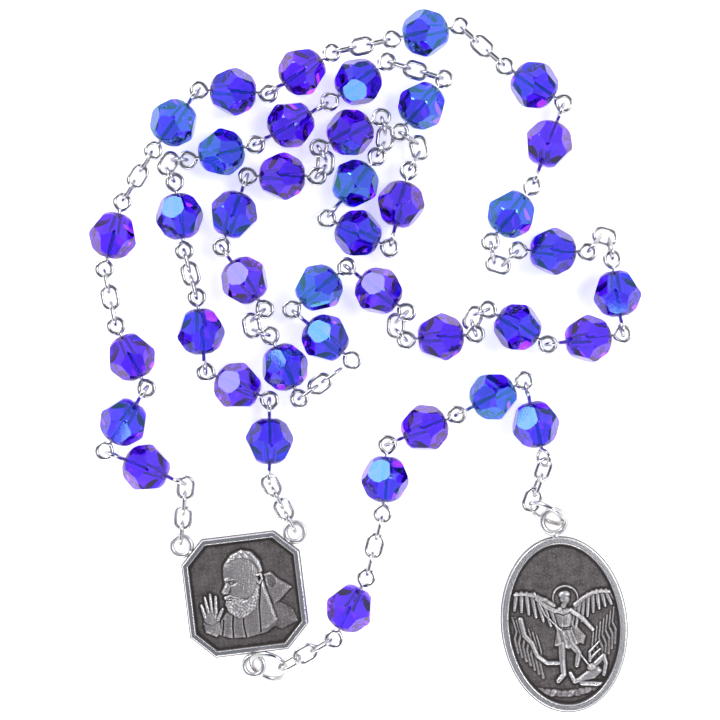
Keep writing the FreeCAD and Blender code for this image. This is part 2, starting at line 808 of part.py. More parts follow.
# The whole chaplet is moved so that the middle of its footprint is the origin.
extent = FreeCAD.BoundBox()
for thing, name in NODES:
    extent.add(thing.Shape.optimalBoundingBox(True, False))
shift = V(-(extent.XMin + extent.XMax) / 2, -(extent.YMin + extent.YMax) / 2, -extent.ZMin)

for thing in doc.Objects:
    if "Invalid" in thing.State or "Error" in thing.State:
        raise RuntimeError("%s did not build" % thing.Name)

os.makedirs("parts", exist_ok=True)
for thing, name in NODES:
    shape = thing.Shape.copy()
    if shape.isNull() or not shape.isValid():
        raise RuntimeError("%s has no sound shape" % name)
    place = FreeCAD.Placement(thing.Placement)
    place.Base = place.Base + shift
    thing.Placement = place
    thing.Shape.exportStep("parts/%s.step" % name)
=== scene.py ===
import json
import math
import random

import bmesh
import bpy
import numpy as np
from mathutils import Matrix, Vector


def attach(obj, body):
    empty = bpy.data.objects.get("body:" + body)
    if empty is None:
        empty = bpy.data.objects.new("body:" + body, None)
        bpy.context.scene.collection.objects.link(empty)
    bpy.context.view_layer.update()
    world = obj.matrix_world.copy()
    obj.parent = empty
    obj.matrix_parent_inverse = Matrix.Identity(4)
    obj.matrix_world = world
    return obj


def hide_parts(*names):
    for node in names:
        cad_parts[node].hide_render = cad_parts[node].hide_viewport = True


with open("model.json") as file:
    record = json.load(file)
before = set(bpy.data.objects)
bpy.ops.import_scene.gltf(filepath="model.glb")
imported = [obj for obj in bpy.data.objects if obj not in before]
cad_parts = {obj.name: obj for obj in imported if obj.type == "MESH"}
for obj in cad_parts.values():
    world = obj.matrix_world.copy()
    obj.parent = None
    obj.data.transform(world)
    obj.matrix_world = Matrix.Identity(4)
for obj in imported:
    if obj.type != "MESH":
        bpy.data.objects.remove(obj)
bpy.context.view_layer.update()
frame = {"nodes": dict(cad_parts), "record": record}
BODY_OF = {node: body for body, members in frame["record"]["behaviour"]["bodies"].items() for node in members}
MM = 0.001
random.seed(7)

# Beads and their pins, in millimetres and degrees. Facets and flat ends are given by their distance from the
# middle of the bead, and an eye and its throat by their distance along the pin from there.
BEAD_R = 3.93
FACET_AT = 3.39
END_AT = 3.72
FACET_TILT = 25.0
BORE = 0.5
BORE_SIDES = 28
BORE_REACH = 6
EDGE_WEAR = 0.09
PIN_WIRE = 0.35
EYE_R = 1.25
EYE_AT = 5.7
EYE_STEPS = 28
THROAT = 4.2
THROAT_STEPS = 4
EYE_CLEAR = 0.5
GLASS_ORDER = (0, 2, 1, 0, 2)

# Medals, in millimetres and degrees, each in its own frame before it is turned and placed. The octagon is
# given by half its width and by what each corner takes off a side. A bail has its middle and the way to the
# plate.
OCTAGON_HALF = 9.8
OCTAGON_CORNER = 3.8
CENTRE_TURN = 7.0
CENTRE_BAILS = (((-9.4, 9.1), -45), ((9.4, 9.1), -135), ((0, -11.9), 90))
CENTRE_BAIL_HEIGHT = 1.6
LUG_WIRE = 0.5
LUG_STEPS = (1.6, 2.2, 2.8)
OVAL_X = 10.4
OVAL_Y = 14.5
END_TURN = 5.7
END_BAIL = (0, 17.0)
NECK_PATH = [(0, 13.9, 1.4), (0, 14.6, 1.4), (0, 15.2, 1.45)]
NECK_WIRE = 0.72
BAIL_SIDES = 18
BAIL_WEAR = 0.78


# ---- Materials

def shader(name):
    mat = bpy.data.materials.new(name)
    mat.use_nodes = True
    return mat, mat.node_tree, mat.node_tree.nodes["Principled BSDF"]


def noise(tree, scale, detail=4.0, rough=0.5):
    where = tree.nodes.new("ShaderNodeTexCoord")
    node = tree.nodes.new("ShaderNodeTexNoise")
    node.inputs["Scale"].default_value = scale
    node.inputs["Detail"].default_value = detail
    node.inputs["Roughness"].default_value = rough
    tree.links.new(where.outputs["Object"], node.inputs["Vector"])
    return node


def ramp(tree, source, stops):
    node = tree.nodes.new("ShaderNodeValToRGB")
    while len(node.color_ramp.elements) < len(stops):
        node.color_ramp.elements.new(0.5)
    for element, (at, colour) in zip(node.color_ramp.elements, stops):
        element.position = at
        element.color = (*colour, 1)
    tree.links.new(source, node.inputs["Fac"])
    return node


def bump(tree, source, bsdf, strength, distance):
    node = tree.nodes.new("ShaderNodeBump")
    node.inputs["Strength"].default_value = strength
    node.inputs["Distance"].default_value = distance
    tree.links.new(source, node.inputs["Height"])
    tree.links.new(node.outputs["Normal"], bsdf.inputs["Normal"])


def glass(name, colour, film, film_index):
    mat, tree, bsdf = shader(name)
    cloud = noise(tree, 420, 3)
    tint = ramp(tree, cloud.outputs["Fac"], ((0.3, [c * 0.85 for c in colour]), (0.75, colour)))
    tree.links.new(tint.outputs["Color"], bsdf.inputs["Base Color"])
    bsdf.inputs["Roughness"].default_value = 0.03
    bsdf.inputs["IOR"].default_value = 1.52
    bsdf.inputs["Transmission Weight"].default_value = 1.0
    bsdf.inputs["Thin Film Thickness"].default_value = film
    bsdf.inputs["Thin Film IOR"].default_value = film_index
    fine = noise(tree, 2600, 2)
    bump(tree, fine.outputs["Fac"], bsdf, 0.05, 0.00003)
    return mat


def silver(name, colour, rough):
    mat, tree, bsdf = shader(name)
    wear = noise(tree, 900, 4)
    tint = ramp(tree, wear.outputs["Fac"], ((0.3, [c * 0.86 for c in colour]), (0.7, colour)))
    tree.links.new(tint.outputs["Color"], bsdf.inputs["Base Color"])
    haze = ramp(tree, wear.outputs["Fac"], ((0.3, (rough * 1.5,) * 3), (0.7, (rough * 0.7,) * 3)))
    tree.links.new(haze.outputs["Color"], bsdf.inputs["Roughness"])
    bsdf.inputs["Metallic"].default_value = 1.0
    fine = noise(tree, 5200, 2)
    bump(tree, fine.outputs["Fac"], bsdf, 0.12, 0.00003)
    return mat


def oxidised(name):
    """Cast metal, dark where the mesh attribute named wear is low and bright where it is high."""
    mat, tree, bsdf = shader(name)
    worn = tree.nodes.new("ShaderNodeAttribute")
    worn.attribute_name = "wear"
    grime = noise(tree, 750, 6, 0.65)
    mix = tree.nodes.new("ShaderNodeMath")
    mix.operation = "MULTIPLY_ADD"
    mix.inputs[1].default_value = 0.34
    tree.links.new(grime.outputs["Fac"], mix.inputs[0])
    shift = tree.nodes.new("ShaderNodeMath")
    shift.operation = "SUBTRACT"
    shift.inputs[1].default_value = 0.17
    tree.links.new(worn.outputs["Fac"], shift.inputs[0])
    tree.links.new(shift.outputs[0], mix.inputs[2])
    tint = ramp(tree, mix.outputs[0], ((0.04, (0.055, 0.046, 0.043)), (0.30, (0.23, 0.205, 0.20)),
                                       (0.60, (0.50, 0.47, 0.46)), (0.92, (0.78, 0.76, 0.75))))
    tree.links.new(tint.outputs["Color"], bsdf.inputs["Base Color"])
    haze = ramp(tree, mix.outputs[0], ((0.1, (0.62,) * 3), (0.85, (0.27,) * 3)))
    tree.links.new(haze.outputs["Color"], bsdf.inputs["Roughness"])
    bsdf.inputs["Metallic"].default_value = 0.92
    fine = noise(tree, 3300, 5, 0.6)
    bump(tree, fine.outputs["Fac"], bsdf, 0.35, 0.00008)
    return mat


GLASSES = [
    glass("violet_glass", (0.085, 0.009, 0.86), 172.0, 1.86),
    glass("deep_violet_glass", (0.070, 0.008, 0.82), 190.0, 1.95),
    glass("bright_violet_glass", (0.100, 0.010, 0.88), 158.0, 1.86),
]
WIRE = silver("silver_wire", (0.66, 0.64, 0.62), 0.16)
CHAIN = silver("silver_chain", (0.62, 0.60, 0.585), 0.18)
CAST = oxidised("oxidised_silver")


# ---- Mesh helpers, all in millimetres until the mesh is written

def make(name, verts, faces, mat, smooth=True, wear=None):
    mesh = bpy.data.meshes.new(name)
    mesh.from_pydata([tuple(v) for v in np.asarray(verts) * MM], [], faces)
    mesh.materials.append(mat)
    if smooth:
        mesh.shade_smooth()
    if wear is not None:
        layer = mesh.attributes.new("wear", "FLOAT", "POINT")
        layer.data.foreach_set("value", np.asarray(wear, np.float32))
    mesh.update()
    obj = bpy.data.objects.new(name, mesh)
    bpy.context.scene.collection.objects.link(obj)
    return obj


def tube(path, radius, closed=False, sides=14):
    """Round wire along a path; returns vertices and faces."""
    path = np.asarray(path, float)
    n = len(path)
    if closed:
        ahead = np.roll(path, -1, 0) - np.roll(path, 1, 0)
    else:
        ahead = np.gradient(path, axis=0)
    ahead /= np.linalg.norm(ahead, axis=1)[:, None]
    leaning = (0.3, 0.2, 0.93)
    up = np.cross(ahead[0], leaning)
    up /= np.linalg.norm(up)
    verts = []
    turns = np.linspace(0, 2 * math.pi, sides, endpoint=False)
    for k in range(n):
        up = up - ahead[k] * up.dot(ahead[k])
        up /= np.linalg.norm(up)
        side = np.cross(ahead[k], up)
        for t in turns:
            verts.append(path[k] + radius * (math.cos(t) * up + math.sin(t) * side))
    faces = []
    for k in range(n if closed else n - 1):
        a, b = k * sides, (k + 1) % n * sides
        shift = 0
        if closed and k == n - 1:
            first = np.array(verts[:sides])
            shift = int(np.argmin(np.linalg.norm(first - verts[a], axis=1)))
        for s in range(sides):
            t = (s + 1) % sides
            faces.append((a + s, a + t, b + (t + shift) % sides, b + (s + shift) % sides))
    if not closed:
        for end, order in ((0, -1), (n - 1, 1)):
            verts.append(path[end] + ahead[end] * radius * 0.45 * order)
            tip = len(verts) - 1
            for s in range(sides):
                t = (s + 1) % sides
                ring = (end * sides + s, end * sides + t, tip)
                faces.append(ring if order > 0 else ring[::-1])
    return verts, faces


def points_of(node):
    """A CAD node's corners, in millimetres."""
    mesh = frame["nodes"][node].data
    flat = np.zeros(len(mesh.vertices) * 3, np.float32)
    mesh.vertices.foreach_get("co", flat)
    return flat.reshape(-1, 3).astype(float) / MM


def axes_of(points):
    """Middle of the points and their directions, longest first."""
    turn = np.linalg.eigh(np.cov(points.T))[1].T[::-1]
    ahead, side = turn[0], turn[1]
    flat = np.cross(ahead, side)
    middle = np.zeros(3)
    for axis in (ahead, side, flat):
        reach = points @ axis
        middle += axis * (reach.min() + reach.max()) / 2
    return middle, ahead, side, flat


def finish_piece(obj, node):
    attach(obj, BODY_OF[node])
    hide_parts(node)


# ---- Beads on their eye pins

def bead_master():
    """Fire-polished bead along X with two rows of six large facets, flat ends and a bore."""
    mesh = bmesh.new()
    bmesh.ops.create_uvsphere(mesh, u_segments=64, v_segments=40, radius=BEAD_R,
                              matrix=Matrix.Rotation(math.radians(90), 4, "Y"))
    cuts = []
    for sign, start in ((1, 0), (-1, 30)):
        for k in range(6):
            a = math.radians(start + 60 * k)
            tilt = math.radians(FACET_TILT)
            across = math.cos(tilt)
            cuts.append(Vector((sign * math.sin(tilt), across * math.cos(a), across * math.sin(a))))
    planes = [(way, FACET_AT) for way in cuts] + [(Vector((s, 0, 0)), END_AT) for s in (1, -1)]
    for way, reach in planes:
        geom = mesh.verts[:] + mesh.edges[:] + mesh.faces[:]
        bmesh.ops.bisect_plane(mesh, geom=geom, plane_co=way * reach, plane_no=way, clear_outer=True)
        rim = [e for e in mesh.edges if e.is_boundary]
        bmesh.ops.holes_fill(mesh, edges=rim, sides=0)
    bmesh.ops.remove_doubles(mesh, verts=mesh.verts, dist=0.01)
    data = bpy.data.meshes.new("bead_blank")
    mesh.to_mesh(data)
    mesh.free()
    blank = bpy.data.objects.new("bead_blank", data)
    n = BORE_SIDES
    turns = np.linspace(0, 2 * math.pi, n, endpoint=False)
    ring = [(x, BORE * math.cos(t), BORE * math.sin(t)) for x in (-BORE_REACH, BORE_REACH) for t in turns]
    faces = [(k, (k + 1) % n, n + (k + 1) % n, n + k) for k in range(n)]
    faces += [tuple(range(n - 1, -1, -1)), tuple(range(n, 2 * n))]
    hole_mesh = bpy.data.meshes.new("bead_hole")
    hole_mesh.from_pydata(ring, [], faces)
    hole = bpy.data.objects.new("bead_hole", hole_mesh)
    for obj in (blank, hole):
        bpy.context.scene.collection.objects.link(obj)
    soft = blank.modifiers.new("soft", "BEVEL")
    soft.width = EDGE_WEAR
    soft.segments = 2
    soft.limit_method = "ANGLE"
    soft.angle_limit = math.radians(14)
    drill = blank.modifiers.new("drill", "BOOLEAN")
    drill.operation = "DIFFERENCE"
    drill.solver = "EXACT"
    drill.object = hole
    graph = bpy.context.evaluated_depsgraph_get()
    done = bpy.data.meshes.new_from_object(blank.evaluated_get(graph))
    bpy.data.objects.remove(blank)
    bpy.data.objects.remove(hole)
    verts = np.array([v.co for v in done.vertices])
    return verts, [tuple(p.vertices) for p in done.polygons]


BEAD_VERTS, BEAD_FACES = bead_master()


def eye_path(normal_turn, sign):
    """A teardrop eye at one end of the pin, from the throat round and back, in the pin's frame."""
    half = math.asin(EYE_R / (EYE_AT - THROAT))
    start = math.pi / 2 + half
    path = []
    for k in range(EYE_STEPS + 1):
        a = start - (2 * start) * k / EYE_STEPS
        path.append((EYE_AT + EYE_R * math.cos(a), EYE_R * math.sin(a)))
    last_x, last_y = path[-1]
    closing = 0.72
    for k in range(1, THROAT_STEPS + 1):
        f = k / THROAT_STEPS * closing
        path.append((last_x + (THROAT - last_x) * f, last_y * (1 - f)))
    c, s = math.cos(normal_turn), math.sin(normal_turn)
    return [(sign * x, y * c, y * s) for x, y in path]


def pin(middle, ahead, side, flat, turns):
    """Eye pin: a shaft through the bead, bent into an eye at each end."""
    front = eye_path(turns[0], 1)
    back = eye_path(turns[1], -1)
    shaft = [(x, 0.0, 0.0) for x in np.linspace(-THROAT, THROAT, 15)]
    path = np.array(back[::-1] + shaft + front)
    basis = np.array([ahead, side, flat])
    return tube(path @ basis + middle, PIN_WIRE)


def build_bead(node, number):
    points = points_of(node)
    middle, ahead = axes_of(points)[:2]
    far = points[np.abs((points - middle) @ ahead) > BEAD_R + EYE_CLEAR]
    ends = [far[(far - middle) @ ahead * s > 0] for s in (1, -1)]
    ends = [(end.min(0) + end.max(0)) / 2 for end in ends]
    middle = (ends[0] + ends[1]) / 2
    ahead = (ends[0] - ends[1]) / np.linalg.norm(ends[0] - ends[1])
    side = np.cross((0, 0, 1), ahead)
    side /= np.linalg.norm(side)
    flat = np.cross(ahead, side)
    turns = []
    for s in (1, -1):
        eye = far[(far - middle) @ ahead * s > 0]
        eye = eye - eye.mean(0)
        y, z = eye @ side, eye @ flat
        spread = np.cov(np.array([y, z]))
        widest = np.linalg.eigh(spread)[1][:, 1]
        turns.append(math.atan2(widest[1], widest[0]))
    basis = np.array([ahead, side, flat])
    roll = math.radians(random.uniform(0, 60))
    spin = np.array([[1, 0, 0], [0, math.cos(roll), math.sin(roll)], [0, -math.sin(roll), math.cos(roll)]])
    colour = GLASSES[GLASS_ORDER[number % len(GLASS_ORDER)]]
    bead = make(node + "_glass", BEAD_VERTS @ spin @ basis + middle, BEAD_FACES, colour, False)
    finish_piece(bead, node)
    verts, faces = pin(middle, ahead, side, flat, turns)
    wire = make(node + "_pin", verts, faces, WIRE)
    finish_piece(wire, node)


# ---- Chain links and split rings keep their CAD shape

def build_chain(node):
    obj = frame["nodes"][node]
    obj.data.materials.clear()
    obj.data.materials.append(CHAIN)


beads = sorted(n for n in frame["nodes"] if "_bead" in n)
for number, node in enumerate(beads):
    build_bead(node, number)
for node in sorted(frame["nodes"]):
    if "chain" in node:
        build_chain(node)


# ---- Medals: a relief on a rimmed plate, written as a height at each point of the face

def smooth(x, low, high):
    t = np.clip((x - low) / (high - low), 0, 1)
    return t * t * (3 - 2 * t)


def blob(x, y, cx, cy, rx, ry, turn=0.0, power=2.0):
    """1 in the middle of an ellipse, falling to 0 at its edge."""
    c, s = math.cos(math.radians(turn)), math.sin(math.radians(turn))
    u = ((x - cx) * c + (y - cy) * s) / rx
    v = (-(x - cx) * s + (y - cy) * c) / ry
    return np.clip(1 - (u * u + v * v) ** (power / 2), 0, 1) ** 0.5


def stroke(x, y, points, width, taper=0.0):
    """A raised line through points, round across, thinner towards its end."""
    best = np.zeros_like(x)
    count = len(points) - 1
    for k in range(count):
        (ax, ay), (bx, by) = points[k], points[k + 1]
        t = np.clip(((x - ax) * (bx - ax) + (y - ay) * (by - ay)) / ((bx - ax) ** 2 + (by - ay) ** 2), 0, 1)
        far = np.hypot(x - ax - t * (bx - ax), y - ay - t * (by - ay))
        w = width * (1 - taper * (k + t) / count)
        best = np.maximum(best, np.clip(1 - (far / w) ** 2, 0, 1) ** 0.5)
    return best


def inside(x, y, corners, soft=0.25):
    """A pillow: 0 outside a closed outline, rising round to 1 at the given depth inside it."""
    n = len(corners)
    inner = np.zeros(x.shape, bool)
    gap = np.full(x.shape, 9.0)
    for k in range(n):
        (ax, ay), (bx, by) = corners[k], corners[(k + 1) % n]
        hit = ((ay > y) != (by > y)) & (x < (bx - ax) * (y - ay) / ((by - ay) or 1e-9) + ax)
        inner ^= hit
        t = np.clip(((x - ax) * (bx - ax) + (y - ay) * (by - ay)) / ((bx - ax) ** 2 + (by - ay) ** 2), 0, 1)
        gap = np.minimum(gap, np.hypot(x - ax - t * (bx - ax), y - ay - t * (by - ay)))
    depth = np.clip(gap / soft, 0, 1)
    return np.where(inner, np.sqrt(1 - (1 - depth) ** 2), 0.0)


def strokes(h, x, y, lines, width, high, taper=0.4):
    """Raises several lines out of a relief."""
    for line in lines:
        h = np.maximum(h, high * stroke(x, y, line, width, taper))
    return h


def cut(h, x, y, lines, width, deep):
    """Sinks several lines into a relief where it stands above the ground."""
    for line in lines:
        h = h - deep * stroke(x, y, line, width) * smooth(h, 0.05, 0.2)
    return h


def bust_relief(x, y):
    """A bearded figure in a habit, turned to the left, with one hand raised."""
    h = np.zeros_like(x)
    back = inside(x, y, [(3.2, -1.2), (5.2, -1.6), (7.6, -3.4), (8.2, -5.4), (5.4, -6.4), (3.4, -5.6)], 2.4)
    h = np.maximum(h, 0.24 * back)
    robe = inside(x, y, [(-5.4, -6.0), (-4.4, -3.8), (-3.3, -2.6), (-1.0, -2.2), (1.6, -0.6), (2.9, 1.4),
                         (4.3, -2.6), (5.0, -5.4), (2.8, -6.7), (-0.4, -7.2), (-3.4, -6.9)], 1.6)
    h = np.maximum(h, 0.36 * robe)
    hood = inside(x, y, [(3.3, 2.9), (4.6, 3.2), (5.4, 2.2), (7.9, 0.3), (4.5, -2.6), (3.6, 0.0)], 0.9)
    h = np.maximum(h, 0.34 * hood)
    h = h - 0.22 * blob(x, y, 4.55, 1.6, 0.75, 1.2, 12)
    collar = inside(x, y, [(2.5, 2.2), (3.3, 2.2), (5.0, -4.9), (3.4, -6.0), (1.6, -6.3), (1.5, -3.2)], 0.8)
    h = np.maximum(h, 0.46 * collar)
    h = cut(h, x, y, [[(2.9, 2.0), (2.1, -2.4), (1.9, -6.4)], [(-0.6, -2.9), (-0.8, -5.0), (-0.6, -7.0)],
                      [(-2.3, -3.2), (-2.6, -5.0), (-2.7, -6.9)], [(-4.0, -3.9), (-4.2, -5.2), (-4.5, -6.4)]],
            0.17, 0.2)
    skull = inside(x, y, [(-3.3, 3.0), (-3.1, 4.9), (-2.1, 6.3), (-0.4, 7.0), (1.4, 6.6), (2.7, 5.2),
                          (3.1, 3.4), (2.8, 1.4), (1.6, -1.2), (-1.4, -1.4), (-2.8, 0.2)], 2.3)
    h = np.maximum(h, 0.62 * skull)
    h = np.maximum(h, 0.56 * inside(x, y, [(-2.7, 2.7), (-3.1, 2.0), (-3.9, 0.7), (-3.5, 0.25), (-2.6, 0.2),
                                           (-1.8, 1.4), (-1.9, 2.7)], 0.7))
    h = np.maximum(h, 0.58 * blob(x, y, -0.7, 0.7, 1.5, 1.3, 20))
    h = h - 0.20 * blob(x, y, -1.9, 2.15, 0.95, 0.5, 4)
    h = np.maximum(h, 0.56 * stroke(x, y, [(-2.9, 2.75), (-2.1, 3.0), (-0.9, 2.75)], 0.32, 0.3))
    h = np.maximum(h, 0.50 * blob(x, y, -1.95, 2.1, 0.5, 0.3))
    h = cut(h, x, y, [[(-2.4, 2.1), (-1.5, 2.12)]], 0.1, 0.1)
    beard = inside(x, y, [(-3.1, -0.3), (-3.5, -1.4), (-3.0, -2.9), (-1.6, -4.0), (0.2, -3.9), (1.7, -2.6),
                          (2.5, -0.6), (2.7, 1.6), (2.0, 2.0), (1.3, 0.3), (0.2, -0.5), (-1.4, -0.2)], 0.9)
    curl = 0.07 * np.sin(7.5 * x + 2.2 * np.sin(3.0 * y)) * np.cos(6.2 * y + 1.8 * np.sin(3.4 * x))
    h = np.maximum(h, beard * (0.56 + curl))
    h = np.maximum(h, 0.55 * stroke(x, y, [(-3.2, -0.25), (-2.4, 0.0), (-1.2, -0.45)], 0.36, 0.3))
    h = cut(h, x, y, [[(-3.0, -0.72), (-2.2, -0.72)]], 0.12, 0.16)
    hair = inside(x, y, [(-2.9, 5.2), (-1.7, 6.7), (0.2, 7.4), (1.9, 6.9), (3.2, 5.2), (3.4, 3.4), (2.7, 2.6),
                         (2.2, 4.4), (1.2, 5.5), (-0.6, 5.7)], 0.7)
    h = np.maximum(h, hair * (0.6 + 0.055 * np.sin(6.4 * (x * 0.9 + y * 0.55))))
    h = np.maximum(h, 0.62 * stroke(x, y, [(2.3, 2.9), (3.0, 3.0), (3.1, 2.2), (2.6, 1.5), (2.4, 1.8)], 0.26))
    h = h - 0.16 * blob(x, y, 2.65, 2.35, 0.28, 0.45)
    sleeve = inside(x, y, [(-7.4, -3.9), (-7.2, -5.6), (-5.4, -6.5), (-4.2, -5.6), (-4.6, -3.9)], 1.3)
    h = np.maximum(h, 0.4 * sleeve)
    h = np.maximum(h, 0.5 * blob(x, y, -5.95, -3.2, 1.35, 1.6, 10))
    fingers = [[(-6.9, -2.9), (-7.3, -1.0)], [(-6.3, -2.2), (-6.6, 0.2)], [(-5.7, -2.2), (-5.7, 0.6)],
               [(-5.1, -2.4), (-4.8, 0.1)], [(-4.9, -3.6), (-3.9, -2.0)]]
    return strokes(h, x, y, fingers, 0.4, 0.5, 0.35)


def wing(h, x, y, root, tip, drop):
    """A feathered wing: a stout leading edge with long feathers hanging from it."""
    (rx, ry), (tx, ty) = root, tip
    feathers = 9

    def leading(f):
        return rx + (tx - rx) * f, ry + (ty - ry) * f + 0.9 * math.sin(math.pi * f)

    for k in range(feathers):
        f = k / (feathers - 1)
        bx, by = leading(f)
        long = drop * (1.05 - 0.62 * f)
        out = 1 if tx > rx else -1
        end = (bx - out * long * 0.30 + out * 1.5 * f, by - long)
        h = np.maximum(h, (0.34 + 0.03 * (k % 2)) * stroke(x, y, [(bx, by), end], 0.46, 0.45))
    edge = [leading(f) for f in (0, 0.25, 0.5, 0.75, 1)]
    return np.maximum(h, 0.46 * stroke(x, y, edge, 0.5, 0.5))


def angel_relief(x, y):
    """A winged figure with a spear standing over a fallen one, with flames behind."""
    h = np.zeros_like(x)
    for side in (-1, 1):
        for k in range(7):
            bx = side * (4.3 + 0.62 * k)
            low, high = -8.4 + 0.75 * k, -1.4 + 0.55 * k
            line = [(bx, low), (bx + side * 0.35, low * 0.62 + high * 0.38),
                    (bx - side * 0.1, high * 0.6 + low * 0.4), (bx + side * 0.4, high)]
            h = np.maximum(h, 0.15 * stroke(x, y, line, 0.26, 0.5))
    halo = np.abs(np.hypot(x - 0.6, y - 4.2) - 2.05)
    h = np.maximum(h, 0.2 * np.clip(1 - (halo / 0.16) ** 2, 0, 1) ** 0.5)
    h = wing(h, x, y, (-1.5, 3.2), (-8.2, 5.6), 5.0)
    h = wing(h, x, y, (2.2, 3.0), (8.1, 4.6), 4.2)
    tail = [(-7.1, 1.4), (-6.7, -1.2), (-5.6, -2.6), (-4.9, -4.8), (-3.4, -6.1), (-1.2, -6.3)]
    h = strokes(h, x, y, [tail], 0.48, 0.4, 0.3)
    cape = inside(x, y, [(1.0, 0.6), (2.2, -0.6), (3.4, -2.2), (2.9, -3.6), (1.4, -3.0)], 0.6)
    h = np.maximum(h, 0.36 * cape)
    chest = inside(x, y, [(-1.7, 2.6), (-0.3, 3.0), (1.6, 2.4), (1.5, 0.4), (0.9, -1.0), (-0.9, -1.0),
                          (-1.3, 0.8)], 1.0)
    h = np.maximum(h, 0.54 * chest)
    seams = [[(-1.2, 2.0), (0.0, 1.5), (1.2, 1.9)], [(0.0, 2.6), (-0.1, -0.8)], [(-1.1, -0.5), (1.1, -0.5)]]
    h = cut(h, x, y, seams, 0.16, 0.12)
    skirt = inside(x, y, [(-1.3, -0.7), (1.2, -0.7), (2.2, -3.4), (0.4, -4.2), (-2.0, -3.4)], 0.7)
    h = np.maximum(h, skirt * (0.46 + 0.06 * np.sin(7.0 * x + 1.2 * y)))
    h = np.maximum(h, 0.5 * stroke(x, y, [(0.2, 3.0), (0.4, 3.6)], 0.5))
    h = np.maximum(h, 0.58 * blob(x, y, 0.5, 4.25, 0.85, 1.1))
    h = np.maximum(h, 0.6 * blob(x, y, 0.5, 4.85, 1.0, 0.7))
    arms = [[(-1.2, 2.3), (-2.8, 3.3), (-4.1, 4.6), (-2.6, 4.3)], [(1.4, 2.1), (3.0, 0.8), (4.6, -1.3)]]
    h = strokes(h, x, y, arms, 0.52, 0.54, 0.3)
    legs = [[(-0.7, -3.2), (-0.9, -5.6), (-0.9, -8.2), (-1.9, -9.2)], [(0.9, -3.3), (1.9, -4.9), (1.4, -6.9)]]
    h = strokes(h, x, y, legs, 0.66, 0.52, 0.4)
    spear = [(-4.4, 5.6), (-3.0, 1.8), (-0.4, -1.2), (3.7, -7.6)]
    h = strokes(h, x, y, [spear], 0.2, 0.5, 0.1)
    h = np.maximum(h, 0.48 * blob(x, y, 3.9, -7.5, 0.9, 0.8))
    fallen = inside(x, y, [(2.9, -8.0), (4.9, -7.2), (5.6, -8.2), (4.2, -9.4), (2.0, -9.8), (1.2, -9.0)], 0.8)
    h = np.maximum(h, 0.46 * fallen)
    limbs = [[(4.6, -6.9), (5.9, -5.8), (6.2, -7.0), (5.7, -8.8)], [(2.2, -9.2), (0.8, -9.5), (0.2, -8.1)],
             [(2.0, -9.9), (4.4, -10.3), (5.4, -10.4)]]
    h = strokes(h, x, y, limbs, 0.5, 0.46, 0.3)
    h = strokes(h, x, y, [[(3.6, -6.4), (3.7, -4.9), (5.4, -3.4)], [(3.6, -6.2), (4.7, -5.2), (5.5, -4.6)]],
                0.28, 0.34, 0.4)
    for k in range(11):
        high = 0.16 + 0.05 * (k % 3)
        low = -10.6 - 0.5 * math.sin(0.31 * k) * 1.6
        h = np.maximum(h, high * blob(x, y, -4.8 + 0.95 * k, low, 0.85, 0.55, 25 * (k % 3 - 1)))
    return h


def grain(x, y):
    """Uneven cast ground."""
    return (0.018 * np.sin(5.1 * x + 2.2 * np.sin(3.7 * y)) * np.cos(4.6 * y + 1.9 * np.sin(2.9 * x))
            + 0.012 * np.sin(11.3 * x + 6.1 * y) * np.sin(9.7 * y - 4.9 * x))


def medal_mesh(boundary, edge_gap, thick, rim, recess, relief, centre, turn, rings=150, spokes=760):
    """Closed plate; the front follows the relief, the sides are rounded and the back is lightly dished."""
    angles = np.linspace(0, 2 * math.pi, spokes, endpoint=False)
    rims = boundary(angles)
    xs, ys = [], []
    crowding, blurs, dish = 0.86, 26, 0.14
    for k in range(1, rings + 1):
        u = (k / rings) ** crowding
        xs.append(u * rims * np.cos(angles))
        ys.append(u * rims * np.sin(angles))
    x, y = np.array(xs), np.array(ys)
    d = edge_gap(x, y)
    floor = thick - recess
    lip = smooth(rim - d, 0.0, 0.35) * (1 - 0.22 * smooth(np.abs(d - rim * 0.5), rim * 0.2, rim * 0.5))
    figure = relief(x, y) * smooth(d, rim - 0.2, rim + 0.5)
    ground = floor + grain(x, y) * (1 - lip)
    z = np.minimum(np.maximum(ground + figure, floor + recess * lip), thick - 0.02)
    z -= 0.28 * (1 - smooth(d, 0.0, 0.32))
    soft = z.copy()
    for _ in range(blurs):
        soft = (np.roll(soft, 1, 1) + np.roll(soft, -1, 1) + soft
                + np.vstack([soft[:1], soft[:-1]]) + np.vstack([soft[1:], soft[-1:]])) / 5
    raised = (z - floor) / recess
    crest = z - soft
    value = np.clip(0.16 + 0.34 * raised + 4.2 * crest + 0.25 * lip, 0, 1)
    verts = [(0.0, 0.0, float(z[0].mean()))]
    wear = [float(value[0].mean())]
    for k in range(rings):
        verts.extend(zip(x[k], y[k], z[k]))
        wear.extend(value[k])
    sides = ((1.0, thick - 0.42, 0.8), (1.0, thick * 0.5, 0.55), (1.0, 0.42, 0.6), (0.992, 0.16, 0.75),
             (0.97, 0.02, 0.8), (0.95, 0.0, 0.7), (0.9, 0.0, 0.55), (0.86, 0.12, 0.25), (0.6, dish, 0.32),
             (0.3, dish, 0.34))
    for u, high, worn in sides:
        verts.extend(zip(u * x[-1], u * y[-1], [high] * spokes))
        wear.extend([worn] * spokes)
    verts.append((0.0, 0.0, dish))
    wear.append(0.34)
    faces = []
    total = rings + len(sides)
    for s in range(spokes):
        t = (s + 1) % spokes
        faces.append((0, 1 + s, 1 + t))
        for k in range(total - 1):
            a, b = 1 + k * spokes, 1 + (k + 1) * spokes
            faces.append((a + s, b + s, b + t, a + t))
        faces.append((1 + (total - 1) * spokes + s, len(verts) - 1, 1 + (total - 1) * spokes + t))
    return place(verts, centre, turn), faces, wear


